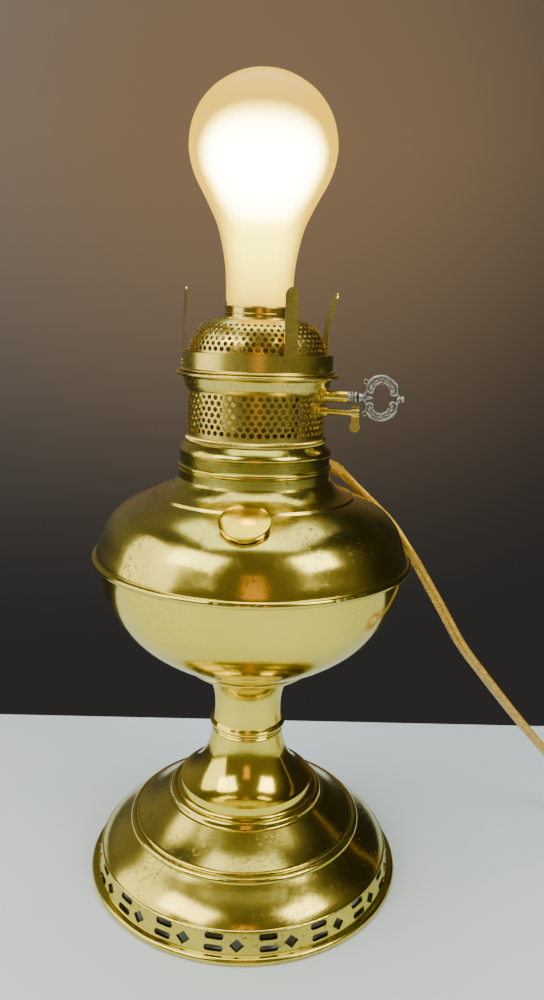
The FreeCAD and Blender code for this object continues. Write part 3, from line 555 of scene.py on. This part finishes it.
CORD_W, CORD_T = 5.6, 2.8
CORD_LENGTH = 1.8
COIL_CENTRE, COIL_R = (234.0, 74.0), 32.0
COIL_COLUMNS = 3
SIDE_SPACING, LAYER_SPACING = 1.02, 1.04
COIL_CLEAR_OF_TABLE = 0.3
PLUG_Y = 114.0
FLAT_BELOW_Z, TURNED_ABOVE_Z, HANGING_TURN = 0.008, 0.060, 0.5
CORD_ROUTE = [
    (0.0324, 0.0210, 0.2060),
    (0.0408, 0.0266, 0.2034),
    (0.0502, 0.0286, 0.1945),
    (0.0608, 0.0256, 0.1852),
    (0.0714, 0.0198, 0.1758),
    (0.0796, 0.0134, 0.1630),
    (0.0896, 0.0140, 0.1466),
    (0.1012, 0.0170, 0.1276),
    (0.1114, 0.0206, 0.1104),
    (0.1264, 0.0234, 0.0920),
    (0.1450, 0.0276, 0.0692),
    (0.1660, 0.0316, 0.0454),
    (0.1840, 0.0352, 0.0244),
    (0.1996, 0.0380, 0.0102),
    (0.2160, 0.0408, 0.0040),
    (0.2340, 0.0420, 0.0025),
]


def coil_turns(count, per_turn=14):
    """Turns of the put-away cord, side by side in columns and stacked in layers."""
    points = []
    for step in range(1, round(count * per_turn) + 1):
        turn = step / per_turn
        layer, column = divmod(turn, COIL_COLUMNS)
        sweep = column / COIL_COLUMNS * (COIL_COLUMNS - 1) - (COIL_COLUMNS - 1) / 2
        side = sweep if layer % 2 == 0 else -sweep
        radius = COIL_R + side * CORD_W * SIDE_SPACING
        angle = math.radians(-90) + 2 * math.pi * turn
        climbed = layer + max(0.0, column - COIL_COLUMNS + 0.25) * 4
        height = CORD_T * (0.5 + LAYER_SPACING * min(climbed, 2.0))
        points.append((
            (COIL_CENTRE[0] + radius * math.cos(angle)) * MM,
            (COIL_CENTRE[1] + radius * math.sin(angle)) * MM,
            (height + COIL_CLEAR_OF_TABLE) * MM,
        ))
    return points


def nurbs_line(points, resolution=6):
    """The points of the smooth line that has these control points."""
    curve = bpy.data.curves.new("cord_line", "CURVE")
    curve.dimensions = "3D"
    curve.resolution_u = resolution
    spline = curve.splines.new("NURBS")
    spline.points.add(len(points) - 1)
    for point, place in zip(spline.points, points):
        point.co = (*place, 1.0)
    spline.order_u = 3
    spline.use_endpoint_u = True
    holder = bpy.data.objects.new("cord_line", curve)
    bpy.context.scene.collection.objects.link(holder)
    mesh = bpy.data.meshes.new_from_object(holder)
    line = [Vector(vertex.co) for vertex in mesh.vertices]
    bpy.data.objects.remove(holder)
    bpy.data.curves.remove(curve)
    bpy.data.meshes.remove(mesh)
    return line


def line_length(line):
    return sum((b - a).length for a, b in zip(line, line[1:]))


def first_stretch(line, length):
    """The line's points up to that length from its start."""
    kept = [line[0]]
    for point in line[1:]:
        length -= (point - kept[-1]).length
        if length < 0:
            break
        kept.append(point)
    return kept


def twin_section():
    """Outline of flat twin lead: two round cores side by side with a groove between."""
    section = []
    core = CORD_T / 2
    for side in (1, -1):
        for step in range(11):
            angle = math.radians(-125 + 25 * step)
            section.append((side * (core + core * math.cos(angle)), side * core * math.sin(angle)))
    return section


def sweep(line, section, wide):
    """Skin a section along a line; wide(point) says how far it is turned on its edge, 0 to 1."""
    rings = []
    for index, point in enumerate(line):
        ahead = (line[min(index + 1, len(line) - 1)] - line[max(index - 1, 0)]).normalized()
        side = ahead.cross(Vector((0, 0, 1))).normalized()
        up = side.cross(ahead)
        turn = wide(point) * math.pi / 2
        across = side * math.cos(turn) + up * math.sin(turn)
        over = across.cross(ahead)
        rings.append([tuple((point + across * u * MM + over * v * MM) / MM) for u, v in section])
    return loft(rings)


def on_edge(point):
    """The lead hangs turned part way on its edge and lies flat on the table."""
    t = min(max((point.z - FLAT_BELOW_Z) / (TURNED_ABOVE_Z - FLAT_BELOW_Z), 0.0), 1.0)
    return HANGING_TURN * t * t * (3 - 2 * t)


def taper(line, radii, ridges=0, sides=24):
    """A round sleeve along a line, its radius falling along it, with a few ridges."""
    rings = []
    for index, point in enumerate(line):
        t = index / (len(line) - 1)
        radius = radii[0] + (radii[1] - radii[0]) * t
        radius += 0.28 * abs(math.sin(math.pi * ridges * t)) if ridges else 0.0
        ahead = (line[min(index + 1, len(line) - 1)] - line[max(index - 1, 0)]).normalized()
        side = ahead.cross(Vector((0, 0, 1))).normalized()
        up = side.cross(ahead)
        rings.append([
            tuple(point / MM + side * radius * math.cos(turn) + up * radius * math.sin(turn))
            for turn in (2 * math.pi * step / sides for step in range(sides))
        ])
    return loft(rings)


def cord_turn_count():
    """How many turns leave the cord its real length, found by halving."""
    few, many = 4.0, 9.0
    while many - few > 0.02:
        middle = (few + many) / 2
        if line_length(nurbs_line(cord_points(middle))) < CORD_LENGTH:
            few = middle
        else:
            many = middle
    return few


def cord_points(turns):
    """Route, coil and the short tail to the plug."""
    coil = coil_turns(turns)
    start, second = Vector(coil[-1]), Vector(coil[-2])
    plug = Vector(((COIL_CENTRE[0] + COIL_R) * MM, (PLUG_Y + 1.0) * MM, 0.0066))
    leave = start + (start - second) * 0.9
    return CORD_ROUTE + coil + [tuple(leave), tuple(leave.lerp(plug, 0.5)), tuple(plug)]


def make_cord():
    line = nurbs_line(cord_points(cord_turn_count()))
    cord = new_piece("supply_cord", *sweep(line, twin_section(), on_edge), "cord_vinyl", "lamp",
                     ["cord_lead", "cord_coil", "cord_tail"], sharp=60)
    near = first_stretch(line, 0.016)
    inward = (line[0] - line[3]).normalized()
    sleeve_line = [line[0] + inward * 0.001 * step for step in range(8, 0, -1)] + near
    sleeve = new_piece("bushing_sleeve", *taper(sleeve_line, (3.3, 3.0)), "cord_vinyl", "lamp",
                       ["cord_bushing"])
    relief_line = first_stretch(line[::-1], 0.024)[::-1]
    relief = new_piece("plug_relief", *taper(relief_line, (3.0, 5.6), ridges=7), "cord_vinyl", "lamp")
    plug = make_plug()


def make_plug():
    """Moulded plug: rounded-box sections that swell from the cord to the face."""
    stations = [(0.0, 5.0, 4.6), (1.2, 6.4, 5.2), (5.0, 8.6, 5.8), (9.0, 11.4, 6.2), (10.5, 11.9, 6.4),
                (18.4, 11.9, 6.4), (19.6, 11.5, 6.0), (20.0, 10.6, 5.2)]
    rings = []
    for index, (y, half_w, half_h) in enumerate(stations):
        rings.append(superellipse(half_w, half_h, y))
        if 2 <= index <= 3:
            rings.append(superellipse(half_w - 0.5, half_h - 0.5, y + 0.6))
            rings.append(superellipse(half_w + 0.1, half_h, y + 1.4))
    place = Matrix.Translation((COIL_CENTRE[0] + COIL_R, PLUG_Y, 6.5))
    return new_piece("plug_moulding", *loft(rings), "cord_vinyl", "lamp", ["plug_body"], place=place)


def superellipse(half_w, half_h, y, sides=40):
    """A rounded rectangle across Y."""
    ring = []
    for side in range(sides):
        angle = 2 * math.pi * side / sides
        c, s = math.cos(angle), math.sin(angle)
        ring.append((half_w * math.copysign(abs(c) ** 0.4, c), y, half_h * math.copysign(abs(s) ** 0.4, s)))
    return ring


# ---------------------------------------------------------------- burner

BASKET_R, BASKET_WALL = 31.6, 0.6
BASKET_BOTTOM_Z = 222.4
HOLES_ROUND_BASKET, BASKET_HOLE_R = 58, 1.17
BASKET_ROWS, BASKET_FIRST_Z, BASKET_SPACING = 7, 225.3, 2.62
HOLES_ROUND_DOME, DOME_ROWS, DOME_FIRST, DOME_SPACING = 60, 6, 3.1, 2.3
DOME_WALL, DOME_HOLE_R, DOME_HOLE_STEP = 0.6, 1.12, 0.07
MILLED_TEETH = 192


def basket_surface(v):
    return BASKET_R, v, 1.0, 0.0


def make_basket():
    """Perforated cylinder with a plain foot, a flared neck and a rolled flange."""
    low = BASKET_FIRST_Z - BASKET_SPACING / 2
    high = low + BASKET_ROWS * BASKET_SPACING
    segments = 4 * HOLES_ROUND_BASKET
    inside = BASKET_R - BASKET_WALL
    foot = lathe([(BASKET_R, low), (BASKET_R, BASKET_BOTTOM_Z), (inside, BASKET_BOTTOM_Z), (inside, low)],
                 segments, closed=False)
    flare = smooth_line([(BASKET_R, 242.5), (32.3, 243.3), (33.3, 244.9), (33.8, 246.8), (34.3, 248.3),
                         (35.4, 249.2)], 5)
    roll = arc_line((36.7, 250.1), 0.8, -90, 150, 12)
    inner = smooth_line([(34.6, 250.2), (33.5, 248.8), (33.2, 246.9), (32.7, 245.2), (31.7, 243.6),
                         (inside, 242.5)], 5)
    neck = lathe([(BASKET_R, high)] + flare + roll + [(35.6, 250.4)] + inner + [(inside, high)],
                 segments, closed=False)
    holes = perforated(BASKET_FIRST_Z, BASKET_SPACING, BASKET_ROWS, HOLES_ROUND_BASKET, basket_surface,
                       lambda row: BASKET_HOLE_R, BASKET_WALL)
    new_piece("perforated_basket", *joined(foot, neck, holes), "burner_brass", "lamp", ["burner_basket"])


DOME_LINE = smooth_line([(31.0, 258.6), (31.0, 260.6), (30.4, 264.6), (28.0, 269.4), (25.6, 272.2),
                         (22.8, 274.2)], 10)


def along_dome(v):
    """Where the dome's outer line is v mm up from its base, with its outward direction."""
    for (r0, z0), (r1, z1) in zip(DOME_LINE, DOME_LINE[1:]):
        step = math.dist((r0, z0), (r1, z1))
        if v <= step:
            t = v / step
            return r0 + (r1 - r0) * t, z0 + (z1 - z0) * t, (z1 - z0) / step, (r0 - r1) / step
        v -= step
    return DOME_LINE[-1][0], DOME_LINE[-1][1], 0.6, 0.8


def dome_strip(first, last, steps):
    """A plain stretch of the dome's sheet: up the outside and back down the inside."""
    stops = [first + (last - first) * step / steps for step in range(steps + 1)]
    outer, inner = [], []
    for stop in stops:
        r, z, out_r, out_z = along_dome(stop)
        outer.append((r, z))
        inner.append((r - DOME_WALL * out_r, z - DOME_WALL * out_z))
    return outer, inner


def make_air_dome():
    """Perforated dome over the burner, rolled at its base and turned in at its mouth."""
    segments = 4 * HOLES_ROUND_DOME
    low = DOME_FIRST - DOME_SPACING / 2
    high = low + DOME_ROWS * DOME_SPACING
    outer, inner = dome_strip(0.0, low, 4)
    base = lathe(outer[::-1] + inner, segments, closed=False)
    end = sum(math.dist(a, b) for a, b in zip(DOME_LINE, DOME_LINE[1:]))
    outer, inner = dome_strip(high, end - 0.01, 6)
    mouth = lathe(outer + [(17.7, 274.5), (17.7, 273.9), (22.6, 273.6)] + inner[-2::-1], segments,
                  closed=False)
    holes = perforated(DOME_FIRST, DOME_SPACING, DOME_ROWS, HOLES_ROUND_DOME, along_dome,
                       lambda row: DOME_HOLE_R - DOME_HOLE_STEP * row, DOME_WALL)
    new_piece("perforated_dome", *joined(base, mouth, holes), "burner_brass", "gallery", ["air_dome"])


def make_milled_ring():
    """Ring with a fine upright knurl round its edge, over the threaded skirt."""
    thread = [(31.6 - 0.35 * (step % 2), 219.0 - 0.75 * step) for step in range(12)]
    outline = ([(20.2, 220.0), (30.4, 220.0), (30.4, 210.0), (31.2, 210.0)] + thread[::-1]
               + [(31.6, 219.6), (32.3, 219.6), (32.6, 219.9), (32.6, 220.5), (32.6, 221.2),
                  (32.3, 221.9), (31.9, 222.4), (30.9, 222.4), (30.9, 221.0), (20.2, 221.0)])

    def knurl(angle, r, z):
        if r < 32.2 or z < 219.5:
            return r
        return r + 0.16 * math.cos(MILLED_TEETH * angle)

    new_piece("milled_ring", *lathe(outline, 4 * MILLED_TEETH, knurl), "burner_brass", "lamp",
              ["burner_base_ring"], sharp=50)


# ---------------------------------------------------------------- key

SHAFT_AZIMUTH, KEY_Z = -10.0, 241.3
TO_SHAFT = about_z(SHAFT_AZIMUTH) @ Matrix.Translation((0, 0, KEY_Z))
BOW_X = 57.2
BEAD_ANGLES = [38, 64, 90, 116, 142]


def half_bow():
    """Upper half of the bow: two rims from volute to volute, beads in the channel between."""
    left = spiral((52.6, 3.9), (2.0, 0.5), 160, 330)
    right = spiral((62.6, 3.0), (2.0, 0.5), 20, -330)
    arch = [(51.1, 6.3), (53.2, 8.9), (BOW_X, 10.0), (61.2, 8.6), (63.9, 6.1)]
    outer = smooth_line(left[::-1] + arch + right, 3)
    inner = smooth_line([(54.0, 4.8), (54.9, 6.3), (57.3, 7.4), (59.9, 6.1), (61.0, 4.2)], 8)
    parts = [
        rod(outer, [0.45, 0.75, 0.85, 0.8, 0.85, 0.75, 0.45], flat=1.7),
        rod(inner, [0.4, 0.6, 0.65, 0.6, 0.4], flat=1.9),
        ball((52.6, 0, 3.9), 1.0),
        ball((62.6, 0, 3.0), 1.0),
        rod(spiral((50.3, 7.4), (1.5, 0.5), -40, -290), [0.6, 0.5, 0.35], flat=1.5),
        rod(smooth_line([(49.6, 1.0), (50.3, 2.4), (50.7, 4.0)], 5), [1.0, 0.8], flat=1.2),
        rod(smooth_line([(65.6, 0.4), (64.9, 1.3), (64.5, 2.6)], 5), [0.9, 0.8], flat=1.2),
    ]
    channel = []
    for step in range(25):
        angle = math.radians(24 + 132 * step / 24)
        c, s = math.cos(angle), math.sin(angle)
        channel.append([(BOW_X + 5.0 * c, -0.5, 6.3 * s), (BOW_X + 7.2 * c, -0.5, 9.7 * s),
                        (BOW_X + 7.2 * c, 0.5, 9.7 * s), (BOW_X + 5.0 * c, 0.5, 6.3 * s)])
    parts.append(loft(channel))
    for angle in BEAD_ANGLES:
        c, s = math.cos(math.radians(angle)), math.sin(math.radians(angle))
        parts.append(ball((BOW_X + 6.2 * c, 0, 8.6 * s), 0.95))
    return joined(*parts)


def make_key():
    """Cast bow: two mirrored halves, a dart leaf on the spindle's end and a tip knob."""
    upper = half_bow()
    lower = moved(upper, Matrix.Scale(-1, 4, (0, 0, 1)))
    leaf = rod([(46.6, 0), (47.4, 0), (48.6, 0), (50.0, 0), (51.4, 0), (53.4, 0)],
               [1.4, 2.5, 2.0, 1.2, 1.5, 0.2], sides=20, flat=0.8)
    tip = turned_x([(0, 64.4), (1.3, 64.6), (1.6, 65.3), (1.1, 65.9), (1.4, 66.3), (1.6, 67.0),
                    (1.1, 67.8), (0, 68.2)], 24)
    new_piece("key_scrolls", *joined(upper, lower, leaf, tip), "pewter", "wick_key", ["key_bow"],
              sharp=50, place=TO_SHAFT)
    ferrule = turned_x([(1.6, 42.5), (2.6, 42.5), (2.8, 42.9), (2.6, 43.5), (2.1, 43.8), (1.9, 44.2),
                        (2.1, 44.6), (2.1, 45.0), (2.5, 45.2), (2.7, 45.7), (2.5, 46.4), (1.9, 46.6),
                        (0, 46.6), (0, 42.6), (1.6, 42.6)], 40)
    pearls = []
    for index in range(12):
        angle = 2 * math.pi * index / 12
        pearls.append(ball((44.2, 2.1 * math.cos(angle), 2.1 * math.sin(angle)), 0.52, 10))
    new_piece("key_collar", *joined(ferrule, *pearls), "pewter", "wick_key", ["key_ferrule"],
              sharp=50, place=TO_SHAFT)


# ---------------------------------------------------------------- bulb

BULB_TOP_Z, BULB_WALL = 378.4, 0.8
THREAD_R, THREAD_DEPTH, THREAD_PITCH = 12.6, 0.4, 3.6
THREAD_LOW_Z, THREAD_HIGH_Z = 251.8, 272.0
FILAMENT_Z, FILAMENT_HALF, FILAMENT_ARCH, FILAMENT_COIL_R = 342.4, 11.6, 3.0, 0.62


def make_bulb():
    """Frosted globe on a long neck, and its rolled screw cap with a true helical thread."""
    outline = smooth_line([
        (12.8, 273.0), (12.9, 276.0), (13.6, 279.4), (14.8, 282.6), (15.1, 288.0), (15.5, 296.0),
        (16.9, 305.0), (19.5, 315.0), (24.3, 325.0), (29.6, 335.0), (32.0, 343.0), (32.35, 349.5),
        (31.0, 357.0), (27.6, 364.2), (21.4, 371.0), (11.4, 376.6), (0.0, BULB_TOP_Z)], 7)
    glass = sheet_outline(outline, BULB_WALL)
    glass = [(max(r, 0.0), z) for r, z in glass]
    glass[len(outline) - 1] = (0.0, BULB_TOP_Z)
    glass[len(outline)] = (0.0, BULB_TOP_Z - BULB_WALL)
    new_piece("bulb_globe", *lathe(glass, 160), "frosted_glass", "bulb", ["bulb_glass"])
    rows = [(THREAD_R, THREAD_LOW_Z + 0.3 * step) for step in range(68)]

    def thread(angle, r, z):
        if abs(r - THREAD_R) > 0.05:
            return r
        fade = min(1.0, (z - THREAD_LOW_Z) / 2.0, (THREAD_HIGH_Z - z) / 2.0)
        return r + THREAD_DEPTH * fade * math.sin(2 * math.pi * (z / THREAD_PITCH) - angle)

    cap = [(9.6, 250.4), (11.4, 251.2)] + rows + [(12.8, 272.6), (12.8, 275.0), (12.3, 275.0),
                                                  (11.8, 272.8), (11.8, 253.2), (9.2, 251.0)]
    new_piece("bulb_cap", *lathe(cap, 120, thread), "screw_metal", "bulb", ["bulb_base"], sharp=60)
    turns, steps = 26, 12
    line = []
    for step in range(turns * steps + 1):
        t = step / (turns * steps)
        angle = 2 * math.pi * step / steps
        x = FILAMENT_HALF * (2 * t - 1)
        y = FILAMENT_COIL_R * math.cos(angle)
        z = FILAMENT_Z + FILAMENT_ARCH * math.sin(math.pi * t) + FILAMENT_COIL_R * math.sin(angle)
        line.append(Vector((x, y, z)) * MM)
    new_piece("filament_coil", *taper(line, (0.16, 0.16), sides=6), "filament_wire", "bulb", ["filament"])


for make in (make_cord, make_basket, make_air_dome, make_milled_ring, make_key, make_bulb):
    make()


# ---------------------------------------------------------------- stage and light

def panel(name, corners, material):
    mesh = bpy.data.meshes.new(name)
    mesh.from_pydata(corners, [], [(0, 1, 2, 3)])
    mesh.materials.append(material)
    obj = bpy.data.objects.new(name, mesh)
    bpy.context.scene.collection.objects.link(obj)


def area_light(name, place, target, width, height, power, color=(1, 1, 1)):
    data = bpy.data.lights.new(name, "AREA")
    data.shape = "RECTANGLE"
    data.size, data.size_y = width, height
    data.energy = power
    data.color = color
    light = bpy.data.objects.new(name, data)
    light.location = place
    facing = Vector(target) - Vector(place)
    light.rotation_mode = "QUATERNION"
    light.rotation_quaternion = facing.to_track_quat("-Z", "Y")
    bpy.context.scene.collection.objects.link(light)


def toward(graph, direction):
    """How nearly the direction looked in is this one, 1 when it is."""
    node = graph.add("ShaderNodeVectorMath", operation="DOT_PRODUCT")
    graph.link(graph.place, node.inputs[0])
    node.inputs[1].default_value = Vector(direction).normalized()
    return node.outputs["Value"]


def studio_world():
    """A charcoal backdrop beyond the table with painted light on it: a painted amber glow of the bulb's
    light round the bulb, painted light from the upper left, and painted shade that makes it darker towards
    the bottom; in front, a dim room of yellow-brown tone."""
    world = bpy.data.worlds.new("studio")
    graph = SkyGraph(world)
    split = graph.add("ShaderNodeSeparateXYZ")
    graph.link(graph.place, split.inputs[0])
    # painted shade: the backdrop darkens towards the bottom, standing in for light that falls off there
    painted_light_rise = graph.ramp(split.outputs[2], -0.40, 0.20)
    # painted light falling on the backdrop from the upper left
    upper_left = graph.ramp(toward(graph, (-0.75, 1, 0.3)), 0.45, 1.0)
    painted_upper_left_light = graph.math("POWER", graph.math("MULTIPLY", painted_light_rise, upper_left), 1.6)
    # painted glow of the bulb's light on the backdrop round the bulb
    painted_bulb_glow = graph.math("POWER", graph.ramp(toward(graph, (0.0, 1, 0.15)), 0.83, 1.0), 1.7)
    # painted light mixed in: charcoal where it is dark, lit grey where the painted light falls, then the
    # painted amber bulb glow
    backdrop = graph.mix(painted_upper_left_light, (0.026, 0.025, 0.024, 1), (0.23, 0.215, 0.20, 1))
    backdrop = graph.mix(graph.math("MULTIPLY", painted_bulb_glow, painted_light_rise), backdrop, (0.24, 0.155, 0.08, 1))
    front = graph.ramp(split.outputs[1], 0.15, -0.25)
    background = world.node_tree.nodes["Background"]
    graph.link(graph.mix(front, backdrop, (0.15, 0.13, 0.06, 1)), background.inputs["Color"])
    bpy.context.scene.world = world


FLOOR_BACK, FLOOR_HALF = 0.145, 0.9
LAMP_MIDDLE = (0, 0, 0.15)
SOFT_WHITE = (1.0, 0.97, 0.88)
panel("table", [(-FLOOR_HALF, -FLOOR_HALF, 0), (FLOOR_HALF, -FLOOR_HALF, 0), (FLOOR_HALF, FLOOR_BACK, 0),
                (-FLOOR_HALF, FLOOR_BACK, 0)], table_top())
area_light("key_left", (-0.75, -0.70, 0.95), LAMP_MIDDLE, 0.80, 0.60, 9, SOFT_WHITE)
area_light("side_left", (-0.95, -0.20, 0.50), LAMP_MIDDLE, 0.90, 0.90, 7, SOFT_WHITE)
area_light("key_right", (0.80, -0.60, 0.90), LAMP_MIDDLE, 0.55, 0.55, 9, SOFT_WHITE)
area_light("warm_card", (0.02, -0.62, 0.30), (0, 0, 0.17), 0.16, 0.22, 0.12, (1.0, 0.45, 0.06))
area_light("top_fill", (0.0, 0.1, 1.2), (0, 0, 0.1), 1.0, 1.0, 10, (0.90, 0.96, 1.0))
studio_world()
